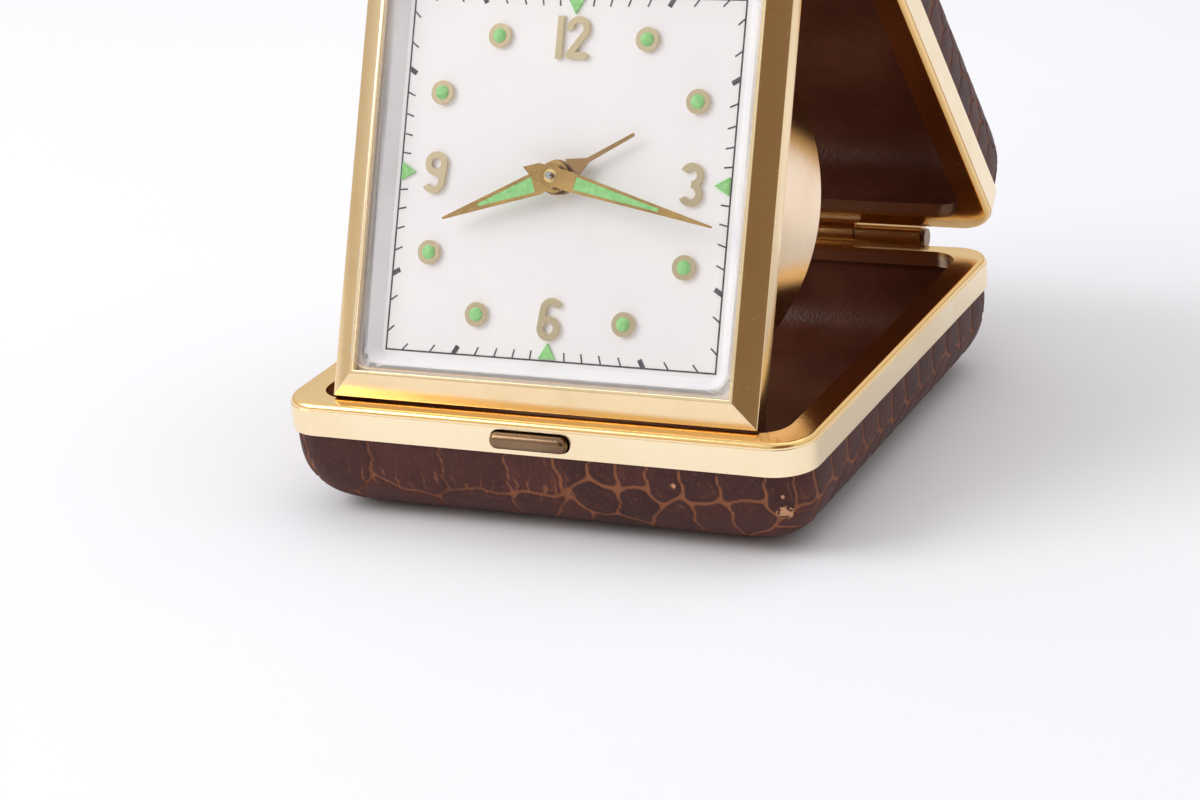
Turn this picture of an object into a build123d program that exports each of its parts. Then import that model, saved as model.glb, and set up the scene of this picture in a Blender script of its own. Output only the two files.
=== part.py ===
"""Folding travel alarm clock, standing open: a leather-covered base and lid with brass rims, hinged at the
back, and a square-faced clock with a round movement case, hinged at its top edge to the lid.
Millimetres, +Z up. Origin on the table under the middle of the base; the clock faces -Y."""
import os
from math import acos, asin, atan2, cos, degrees, hypot, pi, radians, sin

from build123d import *

# case
case_w = 70.0  # width of each half, over the rim
case_d = 73.0  # front to back of each half
shell_h = 15.2  # mating plane above the underside
corner_r = 5.0  # outer corner in plan
rim_h = 4.1  # height of the brass rim
bead_h = 0.8  # rounded top edge of the rim
band_step = 0.12  # band stands proud of the bead
rim_t = 0.6  # brass sheet of the rim
flange_t = 0.5  # top flange of the rim
flange_w = 3.0  # top flange at front and back, outer face to opening
flange_side = 3.9  # top flange at the sides
opening_r = 4.0  # corner of the opening
lip_h = 1.6  # inner turned-down lip below the flange
lip_t = 0.45
leather_t = 1.0
tray_t = 0.5
lining_t = 0.5
half_gap = 0.2  # half of the gap between the halves when closed
# bowl profile: depth below the mating plane and inset from the rim face, as shares
bowl_depths = (rim_h, 0.53 * shell_h, 0.725 * shell_h, 0.87 * shell_h, 0.96 * shell_h, shell_h)
bowl_insets = (0.25, 0.4, 1.3, 3.1, 5.6, 9.0)

# back hinge
hinge_out = 2.0  # pin behind the rim faces
barrel_len = 48.0
barrel_r = 1.6
pin_r = 0.7
run_fit = 0.06  # radial clearance of running fits
knuckle_gap = 0.2
leaf_t = 0.5

# clock head, seen from the front: across, up, and forward of the dial
bezel_half = 28.25
bezel_inner = 25.4
bezel_front = 2.55  # inner edge of the bevel, ahead of the dial
bezel_edge = 1.1  # outer edge of the bevel
bezel_back = 1.5  # back edge of the band, behind the dial
bezel_wall = 0.85
bezel_lip = 24.9  # opening of the bezel
dial_half = 24.4
dial_t = 0.4
track_half = 22.0
crystal_top = 5.2
crystal_t = 0.8
shoulder_r = 1.6
surround_inner = 22.6
surround_h = 1.25
drum_r = 26.5
drum_t = 0.6
drum_drop = 0.85  # drum axis below the dial centre
drum_back = 18.0  # back of the drum behind the dial
cover_t = 0.6

# where the clock hangs and stands
axis_back = 7.3  # clock hinge short of the far flange's inner edge, along the lid
axis_in = 0.3  # clock hinge inside the lid's mating plane
axis_v = 29.5  # clock hinge above the dial centre
axis_w = 7.5  # clock hinge behind the dial
foot_gap = 0.35  # foot of the bezel above the rim
foot_out = 0.1  # foot of the bezel ahead of the opening's edge
clock_barrel_r = 1.4
clock_pin_r = 0.6
clock_knuckle = 5.9  # half length of the middle knuckle
bracket_half = 12.0

# movement
plate_r = 23.5
plate_t = 1.0
front_plate_w = 2.6  # front face of the front plate behind the dial
plate_space = 8.4
pillar_r = 1.2
pillar_ring = 21.5
pillar_angles = (10, 75, 150, 195, 270)
arbor_r = 0.45
mesh_gap = 0.05  # extra centre distance of the gears
cannon_teeth, minute_teeth = 12, 36
pinion_teeth, hour_teeth = 10, 40
motion_module = 0.3
alarm_teeth, setter_teeth = 60, 12
train_module = 0.25
centre_teeth, third_leaves = 64, 8
barrel_teeth, centre_leaves = 72, 12
winder_r, setter_r, third_arbor_r, staff_r = 1.1, 0.6, 0.5, 0.3
alarm_barrel_r = 7.0
third_r = 6.6
balance_r = 5.5
# directions from the centre arbor, seen from the front, and places on the plates
minute_angle, setter_angle, third_angle, barrel_angle = -60, 150, 70, 235
alarm_barrel_at = (11.5, -9.5)
balance_at = (10.5, 5.0)
hammer_at = (-16.5, 6.5)
regulator_at = (7.0, 11.0)
stop_at = (0.0, 17.0)

# hands and dial marks
shown_hours = 8
shown_minutes = 17.25
alarm_at = 60.0  # alarm hand, degrees clockwise from 12
minute_len = 21.9
minute_tail = 3.85
hour_len = 15.7
alarm_len = 11.1
hand_t = 0.2
hand_tip = 0.12
alarm_w, hour_w, minute_w = 1.35, 2.15, 3.2
pin_tip = 4.1
mark_half = 17.0  # numerals and hour dots stand on a square
numeral_h = 5.2
numeral_t = 0.45
stroke = 0.85
dot_r = 1.5
dot_lume_r = 0.85
track_line = 0.2
tick_len = 1.15

# outside controls
button_w, button_h, button_out = 10.25, 2.05, 1.25
button_low = 0.2  # button's axis below the middle of the band
button_play = 0.22
key_half = 6.3
key_h = 2.3
knob_r = 2.8
knob_h = 1.6
regulator_reach = 3.0
stop_travel = 4.0
knob_gap = 0.25

half_w, half_d = case_w / 2, case_d / 2
open_w, open_d = case_w - 2 * flange_side, case_d - 2 * flange_w
hinge_y, hinge_z = half_d + hinge_out, shell_h + half_gap
foot_y = -half_d + flange_w - foot_out
foot_z = shell_h + foot_gap
# the lid, the clock and the base make a triangle: its angles follow from its sides
axis_s = hinge_out + case_d - flange_w - axis_back  # clock hinge from the back hinge
lid_side = hypot(axis_s, axis_in)
clock_side = hypot(axis_v + bezel_half, axis_w + bezel_edge)
base_side = hypot(hinge_y - foot_y, hinge_z - foot_z)
base_tilt = degrees(asin((hinge_z - foot_z) / base_side))
at_hinge = degrees(acos((lid_side**2 + base_side**2 - clock_side**2) / (2 * lid_side * base_side)))
at_foot = degrees(acos((clock_side**2 + base_side**2 - lid_side**2) / (2 * clock_side * base_side)))
lid_angle = at_hinge - base_tilt + degrees(atan2(axis_in, axis_s))
clock_lean = 90 - at_foot - base_tilt - degrees(atan2(axis_w + bezel_edge, axis_v + bezel_half))
ls, lc = sin(radians(lid_angle)), cos(radians(lid_angle))
cs, cc = sin(radians(clock_lean)), cos(radians(clock_lean))
dial_y = foot_y + bezel_half * cs + bezel_edge * cc
dial_z = foot_z + bezel_half * cc - bezel_edge * cs
base_at = Location((0, 0, shell_h))
lid_plane = Plane(origin=(0, hinge_y, hinge_z), x_dir=(1, 0, 0), z_dir=(0, -ls, -lc))
lid_at = lid_plane.location
lid_shell_at = lid_at * Location((0, half_d + hinge_out, -half_gap))
clock_at = Plane(origin=(0, dial_y, dial_z), x_dir=(1, 0, 0), z_dir=(0, -cc, cs)).location

os.makedirs("parts", exist_ok=True)


def save(name, piece, at=None):
    """Put a finished piece in its place, name it and write its STEP file."""
    shape = piece.part if at is None else piece.part.moved(at)
    shape.label = name
    export_step(shape, os.path.join("parts", name + ".step"))


def block(x0, x1, y0, y1, z0, z1, mode=Mode.ADD):
    """Box between two corners, in the open part."""
    with Locations(((x0 + x1) / 2, (y0 + y1) / 2, (z0 + z1) / 2)):
        Box(x1 - x0, y1 - y0, z1 - z0, mode=mode)


def rod(r, z0, z1, at=(0, 0), mode=Mode.ADD):
    """Cylinder along Z between two heights, in the open part."""
    with Locations((at[0], at[1], (z0 + z1) / 2)):
        Cylinder(r, z1 - z0, mode=mode)


def rod_x(r, x0, x1, y, z, mode=Mode.ADD):
    """Cylinder along X between two ends, in the open part."""
    with Locations(((x0 + x1) / 2, y, z)):
        Cylinder(r, x1 - x0, rotation=(0, 90, 0), mode=mode)


def slab(wide, deep, r, z0, z1, mode=Mode.ADD):
    """Plate with rounded corners between two heights, in the open part."""
    with BuildSketch(Plane.XY.offset(z0)) as plan:
        RectangleRounded(wide, deep, r)
    extrude(plan.sketch, amount=z1 - z0, mode=mode)


def square(half, z0, z1, mode=Mode.ADD):
    """Square block about the Z axis, in the open part."""
    block(-half, half, -half, half, z0, z1, mode)


def frustum(half0, z0, half1, z1, r0=0.0, r1=0.0, mode=Mode.ADD):
    """Square loft between two heights, in the open part."""
    ends = []
    for half, z, r in ((half0, z0, r0), (half1, z1, r1)):
        with BuildSketch(Plane.XY.offset(z)) as plan:
            if r:
                RectangleRounded(2 * half, 2 * half, r)
            else:
                Rectangle(2 * half, 2 * half)
        ends.append(plan.sketch.face())
    loft(ends, mode=mode)


def pillow(extra, top, mode=Mode.ADD):
    """Bowl under the mating plane, the given amount inside the outer surface, up to a height."""
    plans = []
    for i, (depth, inset) in enumerate(zip(bowl_depths, bowl_insets)):
        grow = inset + extra
        z = -depth + extra * i / (len(bowl_depths) - 1)
        with BuildSketch(Plane.XY.offset(z)) as plan:
            RectangleRounded(case_w - 2 * grow, case_d - 2 * grow, max(corner_r - inset / 4 - extra, 1.2))
        plans.append(plan.sketch.face())
    loft(plans, mode=mode)
    if top > -rim_h:
        extrude(plans[0], amount=-(top + rim_h) if plans[0].normal_at().Z < 0 else top + rim_h, mode=mode)


def gear_points(teeth, module, turn, tip=0.78, root=1.12, width=0.42):
    """Outline of a wheel with straight-flanked teeth, with a tooth at the given angle."""
    pitch_r = teeth * module / 2
    half = width * pi / teeth
    flank = ((-root * module, -1.55), (0, -1), (tip * module, -0.45),
             (tip * module, 0.45), (0, 1), (-root * module, 1.55))
    points = []
    for i in range(teeth):
        a = radians(turn) + 2 * pi * i / teeth
        for dr, k in flank:
            points.append(((pitch_r + dr) * cos(a + k * half), (pitch_r + dr) * sin(a + k * half)))
    return points


def wheel(teeth, module, z0, z1, bore, turn=0.0, spokes=0, rim=1.1, hub=1.6):
    """Toothed wheel about the Z axis, with a round bore and optional crossings, in the open part."""
    with BuildSketch(Plane.XY.offset(z0)) as face:
        Polygon(*gear_points(teeth, module, turn), align=None)
        if spokes:
            Circle(teeth * module / 2 - 1.12 * module - rim, mode=Mode.SUBTRACT)
            Circle(hub)
            with PolarLocations(0, spokes):
                Rectangle(teeth * module / 2 - 1.12 * module - rim / 2, 1.0,
                          align=(Align.MIN, Align.CENTER))
        if bore:
            Circle(bore, mode=Mode.SUBTRACT)
    extrude(face.sketch, amount=z1 - z0)


def shell_set(name, at):
    """The four pieces of one half of the case: rim, sheet tray, leather and lining."""
    slot_z = -rim_h / 2 - button_low
    with BuildPart() as rim:
        slab(case_w, case_d, corner_r, -rim_h, -bead_h)
        slab(case_w - 2 * band_step, case_d - 2 * band_step, corner_r - band_step, -bead_h, 0)
        top = rim.faces().sort_by(Axis.Z)[-1]
        fillet(top.outer_wire().edges(), bead_h * 0.85)
        slab(case_w - 2 * rim_t, case_d - 2 * rim_t, corner_r - rim_t, -rim_h - 1, -flange_t,
             mode=Mode.SUBTRACT)
        slab(open_w, open_d, opening_r, -flange_t - 1, 1, mode=Mode.SUBTRACT)
        slab(open_w + 2 * lip_t, open_d + 2 * lip_t, opening_r + lip_t, -flange_t - lip_h, -flange_t)
        slab(open_w, open_d, opening_r, -flange_t - lip_h - 1, 1, mode=Mode.SUBTRACT)
        if name == "base":
            with BuildSketch(Plane.XZ.offset(half_d + 1)) as slot:
                with Locations((0, slot_z)):
                    SlotOverall(button_w + 2 * button_play, button_h + 2 * button_play)
            extrude(slot.sketch, amount=-(1 + rim_t + 0.5), mode=Mode.SUBTRACT)
    save(name + "_rim", rim, at)
    depth = 0.0
    for piece, t, top in (("leather", leather_t, -rim_h), ("tray", tray_t, -flange_t - 0.1),
                          ("lining", lining_t, -flange_t - 0.15)):
        with BuildPart() as layer:
            pillow(depth, top)
            pillow(depth + t, top + 1, mode=Mode.SUBTRACT)
            if name == "base" and piece != "leather":
                block(-button_w / 2 - 1.2, button_w / 2 + 1.2, -half_d, -half_d + 3.4,
                      -rim_h - 0.1, 0, Mode.SUBTRACT)
        save(name + "_" + piece, layer, at)
        depth += t


shell_set("base", base_at)
shell_set("lid", lid_shell_at)

# back hinge: three knuckles on the base, two on the lid, one pin
knuckle = (barrel_len - 4 * knuckle_gap) / 5
starts = [-barrel_len / 2 + i * (knuckle + knuckle_gap) for i in range(5)]
with BuildPart() as leaf:
    for x0 in starts[0::2]:
        rod_x(barrel_r, x0, x0 + knuckle, hinge_y, hinge_z)
        block(x0, x0 + knuckle, half_d, hinge_y, hinge_z - barrel_r, hinge_z - barrel_r + 2 * leaf_t)
    block(-barrel_len / 2, barrel_len / 2, half_d, half_d + leaf_t * 0.8,
          shell_h - rim_h + 0.4, hinge_z - barrel_r + 0.05)
    rod_x(pin_r + run_fit, -barrel_len, barrel_len, hinge_y, hinge_z, mode=Mode.SUBTRACT)
save("hinge_base_leaf", leaf)
with BuildPart() as leaf:
    for x0 in starts[1::2]:
        rod_x(barrel_r, x0, x0 + knuckle, 0, 0)
        block(x0, x0 + knuckle, 0, hinge_out, -barrel_r, -barrel_r + 2 * leaf_t)
    block(-barrel_len / 2, barrel_len / 2, hinge_out - leaf_t * 0.6, hinge_out,
          -half_gap - rim_h + 0.4, -barrel_r + 0.05)
    rod_x(pin_r + run_fit, -barrel_len, barrel_len, 0, 0, mode=Mode.SUBTRACT)
save("hinge_lid_leaf", leaf, lid_at)
with BuildPart() as pin:
    rod_x(pin_r, -barrel_len / 2 - 0.6, barrel_len / 2 + 0.6, hinge_y, hinge_z)
    for side in (-1, 1):
        x = side * (barrel_len / 2 + 0.35)
        rod_x(barrel_r * 0.8, x - 0.25, x + 0.25, hinge_y, hinge_z)
save("hinge_pin", pin)

# push button with its catch, and the leaf spring behind it
button_z = shell_h - rim_h / 2 - button_low
face_y = -half_d - button_out
with BuildPart() as button:
    with BuildSketch(Plane.XZ.offset(-face_y)):
        with Locations((0, button_z)):
            SlotOverall(button_w, button_h)
    extrude(amount=-(button_out + rim_t + 0.3))
    fillet(button.faces().sort_by(Axis.Y)[0].edges(), 0.38 * button_h)
    inside = -half_d + rim_t + 0.25
    block(-button_w / 2 - 0.8, button_w / 2 + 0.8, inside, inside + 0.5,
          button_z - button_h / 2 + 0.35, button_z + button_h / 2 - 0.45)
save("push_button", button)
spring_y = -half_d + 2.4
with BuildPart() as spring:
    block(-button_w / 2, button_w / 2, spring_y, spring_y + 0.18,
          shell_h - rim_h - 1.3, shell_h - flange_t - lip_h - 0.2)
save("latch_spring", spring)
hook_s = hinge_out + case_d - flange_w - 0.02
hook_z = flange_t + lip_h + 0.3
with BuildPart() as strike:
    block(-3.0, 3.0, hook_s - 0.43, hook_s, -half_gap - flange_t - lip_h + 0.1, hook_z + 0.5)
    block(-3.0, 3.0, hook_s - 0.43, hook_s + 0.7, hook_z, hook_z + 0.5)
save("lid_strike", strike, lid_at)

# clock hinge: a bracket under the lid's far flange, and the middle knuckle on the clock
flange_in = hinge_out + case_d - flange_w
plate_z = -half_gap - flange_t - lip_h - 0.05
with BuildPart() as bracket:
    block(-bracket_half, bracket_half, axis_s - clock_barrel_r, flange_in + 0.65, plate_z - 0.55, plate_z)
    for side in (-1, 1):
        x0, x1 = sorted((side * (clock_knuckle + knuckle_gap), side * bracket_half))
        rod_x(clock_barrel_r, x0, x1, axis_s, axis_in)
        block(x0, x1, axis_s - clock_barrel_r, axis_s + clock_barrel_r, plate_z - 0.1, axis_in)
    rod_x(clock_pin_r + run_fit, -20, 20, axis_s, axis_in, mode=Mode.SUBTRACT)
save("clock_bracket", bracket, lid_at)
with BuildPart() as pin:
    rod_x(clock_pin_r, -bracket_half - 0.5, bracket_half + 4.2, axis_s, axis_in)
    for x in (-bracket_half - 0.35, bracket_half + 4.1):
        rod_x(clock_pin_r + 0.45, x - 0.2, x + 0.2, axis_s, axis_in)
save("clock_hinge_pin", pin, lid_at)
with BuildPart() as coil:
    for i in range(5):
        with Locations((bracket_half + 0.5 + 0.42 * i, axis_s, axis_in)):
            Torus(clock_pin_r + 0.42, 0.22, rotation=(0, 90, 0))
    rod_x(0.22, bracket_half + 0.5, bracket_half + 2.6, axis_s, axis_in + clock_pin_r + 0.42)
save("clock_hinge_spring", coil, lid_at)
with BuildPart() as arm:
    with BuildSketch(Plane.YZ.offset(-clock_knuckle)):
        with BuildLine():
            Polyline((drum_r - drum_drop + 0.25, -1.02), (bezel_half - bezel_wall - 0.15, -1.02),
                     (bezel_half - bezel_wall - 0.15, -bezel_back - 0.2), (axis_v + 0.8, 1.2 - axis_w),
                     (axis_v, -axis_w), (axis_v - 1.2, -axis_w - 0.5), (drum_r - drum_drop + 0.25, -3.0),
                     close=True)
        make_face()
    extrude(amount=2 * clock_knuckle)
    rod_x(clock_barrel_r, -clock_knuckle, clock_knuckle, axis_v, -axis_w)
    rod_x(clock_pin_r + run_fit, -20, 20, axis_v, -axis_w, mode=Mode.SUBTRACT)
save("clock_knuckle", arm, clock_at)

# bezel, crystal, surround and dial
cavity = bezel_half - bezel_wall
with BuildPart() as bezel:
    square(bezel_half, -bezel_back, bezel_edge)
    frustum(bezel_half, bezel_edge, bezel_inner, bezel_front)
    square(cavity, -bezel_back - 1, bezel_edge - 0.75, mode=Mode.SUBTRACT)
    frustum(cavity, bezel_edge - 0.75, bezel_lip, bezel_edge + 0.5, mode=Mode.SUBTRACT)
    square(bezel_lip, bezel_edge + 0.5, bezel_front + 1, mode=Mode.SUBTRACT)
    with PolarLocations(0, 4):
        for x in (-16.0, 16.0):
            block(x - 2.5, x + 2.5, cavity - 0.45, cavity + 0.1, -bezel_back, -1.05)
save("bezel", bezel, clock_at)
wall = bezel_lip - 0.2
with BuildPart() as crystal:
    slab(2 * wall, 2 * wall, 2.2, surround_h, crystal_top)
    fillet(crystal.edges().group_by(Axis.Z)[-1], shoulder_r)
    offset(amount=-crystal_t, openings=crystal.faces().sort_by(Axis.Z)[0])
save("crystal", crystal, clock_at)
with BuildPart() as surround:
    slab(2 * (cavity - 0.5), 2 * (cavity - 0.5), 0.8, -dial_t, 0.3)
    frustum(cavity - 0.6, 0.3, bezel_lip + 0.05, surround_h, 0.8, 0.8)
    square(dial_half + 0.05, -dial_t - 1, 0, mode=Mode.SUBTRACT)
    frustum(surround_inner, -0.01, surround_inner + 1.4, surround_h + 0.01, 1.2, 2.6, mode=Mode.SUBTRACT)
save("dial_surround", surround, clock_at)
with BuildPart() as dial:
    slab(2 * dial_half, 2 * dial_half, 0.6, -dial_t, 0)
    rod(1.95, -2, 2, mode=Mode.SUBTRACT)
save("dial", dial, clock_at)

# minute track: a square line with ticks, every fifth one bold
with BuildPart() as track:
    with BuildSketch():
        Rectangle(2 * track_half + track_line, 2 * track_half + track_line)
        Rectangle(2 * track_half - track_line, 2 * track_half - track_line, mode=Mode.SUBTRACT)
        for minute in range(60):
            if minute % 15 == 0:
                continue
            a = radians(6 * minute)
            reach = track_half / max(abs(sin(a)), abs(cos(a)))
            wide = 0.6 if minute % 5 == 0 else 0.18
            mid = reach - tick_len / 2
            with Locations(Location((mid * sin(a), mid * cos(a), 0), (0, 0, 90 - 6 * minute))):
                Rectangle(tick_len, wide)
    extrude(amount=0.04)
save("dial_track", track, clock_at)
# hour dots on the square, a raised ring with a lume dome each
hours = [h for h in range(1, 12) if h % 3]
spots = []
for h in hours:
    a = radians(30 * h)
    reach = mark_half / max(abs(sin(a)), abs(cos(a)))
    spots.append((reach * sin(a), reach * cos(a)))
with BuildPart() as rings:
    for spot in spots:
        rod(dot_r, 0, 0.5, spot)
        rod(dot_lume_r, 0.2, 1, spot, mode=Mode.SUBTRACT)
save("hour_dots", rings, clock_at)
with BuildPart() as domes:
    for spot in spots:
        rod(dot_lume_r, 0.2, 0.55, spot)
        with Locations((spot[0], spot[1], 0.65)):
            Cone(dot_lume_r, dot_lume_r * 0.6, 0.2)
    for turn in range(4):
        with BuildSketch():
            with Locations(Location((0, 0, 0), (0, 0, 90 * turn))):
                Polygon((-1.1, track_half - track_line), (1.1, track_half - track_line),
                        (0, track_half - 2.1), align=None)
        extrude(amount=0.3)
save("dial_lume", domes, clock_at)

# applied numerals, drawn as strokes of one width
up = (numeral_h - stroke) / 2
ring_r = up / 2


def bar(p0, p1):
    """Straight stroke with round ends, in the open sketch."""
    dx, dy = p1[0] - p0[0], p1[1] - p0[1]
    mid = ((p0[0] + p1[0]) / 2, (p0[1] + p1[1]) / 2, 0)
    with Locations(Location(mid, (0, 0, degrees(atan2(dy, dx))))):
        SlotOverall(hypot(dx, dy) + stroke, stroke)


def bow(centre, r, start, sweep):
    """Curved stroke with square ends, in the open sketch."""
    def at(radius, angle):
        return (centre[0] + radius * cos(radians(angle)), centre[1] + radius * sin(radians(angle)))
    outer, inner = r + stroke / 2, r - stroke / 2
    half, end = start + sweep / 2, start + sweep
    with BuildLine() as edge:
        ThreePointArc(at(outer, start), at(outer, half), at(outer, end))
        Line(at(outer, end), at(inner, end))
        ThreePointArc(at(inner, end), at(inner, half), at(inner, start))
        Line(at(inner, start), at(outer, start))
    make_face(edge.edges())


def figure_strokes(text):
    """The strokes of one figure, centred on its own middle, in the open sketch."""
    low, high = -ring_r, ring_r
    if text == "1":
        Rectangle(stroke, numeral_h)
    elif text == "2":
        bow((0, high), ring_r, 190, -220)
        bar((ring_r * cos(radians(-30)), high + ring_r * sin(radians(-30))), (-ring_r, -up))
        bar((-ring_r, -up), (ring_r, -up))
    elif text == "3":
        bow((0, high), ring_r, 155, -245)
        bow((0, low), ring_r, 90, -245)
    else:
        lean = 0.23 * ring_r
        with Locations((0, low)):
            Circle(ring_r + stroke / 2)
        bar((-ring_r, low), (lean - ring_r, high))
        bow((lean, high), ring_r, 180, -152)
        with Locations((0, low)):
            Circle(ring_r - stroke / 2, mode=Mode.SUBTRACT)


numerals = {"12": (0, mark_half), "3": (mark_half, 0), "6": (0, -mark_half), "9": (-mark_half, 0)}
with BuildPart() as figures:
    for text, spot in numerals.items():
        for digit, shift in (("1", -1.75), ("2", 0.65)) if text == "12" else ((text, 0.0),):
            with BuildSketch() as face:
                figure_strokes(digit)
            turned = face.sketch.rotate(Axis.Z, 180 if digit == "9" else 0)
            extrude(turned.moved(Location((spot[0] + shift, spot[1], 0))), amount=numeral_t)
save("numerals", figures, clock_at)

# movement case: square flange, round drum, back cover
drum_c = (0, -drum_drop)
with BuildPart() as drum:
    square(cavity - 0.2, -1.0, -dial_t)
    rod(drum_r, -drum_back + cover_t, -1.0, drum_c)
    rod(drum_r - drum_t, -drum_back - 1, 1, drum_c, mode=Mode.SUBTRACT)
    rod(drum_r - drum_t + 0.1, -front_plate_w, -front_plate_w + 0.7, drum_c)
    rod(plate_r - 1.0, -drum_back - 1, 1, drum_c, mode=Mode.SUBTRACT)
save("drum_case", drum, clock_at)

# movement: where the arbors stand, seen from the front
motion_mesh = (cannon_teeth + minute_teeth) * motion_module / 2 + mesh_gap
pinion_module = motion_module * (cannon_teeth + minute_teeth) / (pinion_teeth + hour_teeth)
setter_mesh = (alarm_teeth + setter_teeth) * motion_module / 2 + mesh_gap
third_mesh = (centre_teeth + third_leaves) * train_module / 2 + mesh_gap
barrel_mesh = (barrel_teeth + centre_leaves) * train_module / 2 + mesh_gap


def polar(r, angle):
    """Point at a distance and an angle from the centre arbor."""
    return (r * cos(radians(angle)), r * sin(radians(angle)))


minute_at, setter_at = polar(motion_mesh, minute_angle), polar(setter_mesh, setter_angle)
third_at, barrel_at = polar(third_mesh, third_angle), polar(barrel_mesh, barrel_angle)
front_top = -front_plate_w
front_low = front_top - plate_t
back_top = front_low - plate_space
back_low = back_top - plate_t
cover_top, cover_low = -drum_back + cover_t, -drum_back
knob_top = cover_low - knob_gap
posts = [(drum_c[0] + pillar_ring * cos(radians(a)), drum_c[1] + pillar_ring * sin(radians(a)))
         for a in pillar_angles]


def arbor_holes(low, high, extra=0.0, winders=True):
    """Cut the arbor holes through a plate, in the open part."""
    rod(arbor_r + run_fit + extra, low, high, mode=Mode.SUBTRACT)
    rod(setter_r + run_fit + extra, low, high, setter_at, Mode.SUBTRACT)
    for at in (barrel_at, alarm_barrel_at) if winders else ():
        rod(winder_r + run_fit + extra, low, high, at, Mode.SUBTRACT)


with BuildPart() as plate:
    rod(plate_r, front_low, front_top, drum_c)
    arbor_holes(front_low - 1, front_top + 1, winders=False)
    rod(arbor_r, front_top, -1.12, minute_at)
    for at, r in ((third_at, third_arbor_r), (balance_at, staff_r)):
        rod(r + run_fit, front_low - 1, front_low + 0.6, at, mode=Mode.SUBTRACT)
save("front_plate", plate, clock_at)
with BuildPart() as plate:
    rod(plate_r, back_low, back_top, drum_c)
    arbor_holes(back_low - 1, back_top + 1)
    rod(third_arbor_r + run_fit, back_top - 0.6, back_top + 1, third_at, mode=Mode.SUBTRACT)
save("back_plate", plate, clock_at)
with BuildPart() as pillars:
    for at in posts:
        rod(pillar_r, back_top, front_low, at)
        rod(pillar_r + 0.35, back_top, back_top + 0.8, at)
        rod(pillar_r + 0.35, front_low - 0.8, front_low, at)
save("plate_pillars", pillars, clock_at)
with BuildPart() as screws:
    for at in posts:
        rod(1.3, back_low - 0.8, back_low, at)
    fillet(screws.faces().group_by(Axis.Z)[0].edges(), 0.25)
    for at in posts:
        block(at[0] - 2, at[0] + 2, at[1] - 0.18, at[1] + 0.18, back_low - 1, back_low - 0.45,
              Mode.SUBTRACT)
save("plate_screws", screws, clock_at)

# centre arbor with its wheel and pinion, cannon pinion, minute hand and setting knob
minute_turn = -6.0 * shown_minutes
hour_turn = -30.0 * (shown_hours + shown_minutes / 60)
with BuildPart() as arbor:
    rod(arbor_r, knob_top - knob_h + 0.3, pin_tip - 0.15)
    with Locations((0, 0, pin_tip - 0.075)):
        Cone(arbor_r, arbor_r * 0.55, 0.15)
save("centre_arbor", arbor, clock_at)
centre_low = front_low - 1.3
with BuildPart() as centre:
    wheel(centre_teeth, train_module, centre_low, centre_low + 0.5, arbor_r, third_angle, 4, 1.2, 2.0)
    wheel(centre_leaves, train_module, centre_low - 3.6, centre_low, arbor_r, barrel_angle)
save("centre_wheel", centre, clock_at)
with BuildPart() as cannon:
    wheel(cannon_teeth, motion_module, front_top + 0.15, front_top + 0.65, arbor_r, minute_angle)
    rod(0.8, front_top + 0.6, minute_w + hand_t + 0.05)
    rod(arbor_r, -5, 5, mode=Mode.SUBTRACT)
save("cannon_pinion", cannon, clock_at)
with BuildPart() as carrier:
    wheel(minute_teeth, motion_module, front_top + 0.2, front_top + 0.6, arbor_r + run_fit,
          minute_angle + 180 + 180 / minute_teeth, 4, 0.9, 1.7)
    wheel(pinion_teeth, pinion_module, front_top + 0.6, -1.15, arbor_r + run_fit, minute_angle + 180)
save("minute_wheel", carrier, clock_at * Location((minute_at[0], minute_at[1], 0)))
with BuildPart() as hour:
    wheel(hour_teeth, pinion_module, -1.65, -1.3, 0.8 + run_fit,
          minute_angle + 180 / hour_teeth, 4, 1.0, 2.0)
    rod(1.25, -1.65, hour_w + hand_t + 0.05)
    rod(0.8 + run_fit, -5, 5, mode=Mode.SUBTRACT)
save("hour_wheel", hour, clock_at)
with BuildPart() as disc:
    wheel(alarm_teeth, motion_module, -0.95, -0.62, 1.25 + run_fit, setter_angle, 5, 1.1, 2.4)
    rod(1.7, -0.95, alarm_w + hand_t + 0.05)
    rod(1.25 + run_fit, -5, 5, mode=Mode.SUBTRACT)
save("alarm_wheel", disc, clock_at)
with BuildPart() as setter:
    rod(setter_r, knob_top - knob_h + 0.3, -0.62)
    wheel(setter_teeth, motion_module, -1.05, -0.62, 0, 180 + setter_angle + 180 / setter_teeth)
save("alarm_setter", setter, clock_at * Location((setter_at[0], setter_at[1], 0)))


def hand(length, belly_w, belly_at, tail, tail_w, hub_r, bore, window):
    """Hand pointing along +Y, a long kite with a hub, a tail and an open window, in the open part."""
    with BuildSketch() as face:
        Polygon((hand_tip, length), (-hand_tip, length), (-belly_w / 2, belly_at), (-tail_w / 2, -tail / 2),
                (0, -tail), (tail_w / 2, -tail / 2), (belly_w / 2, belly_at), align=None)
        Circle(hub_r)
        Circle(bore, mode=Mode.SUBTRACT)
        Polygon(*window, align=None, mode=Mode.SUBTRACT)
    extrude(face.sketch, amount=hand_t)


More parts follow.
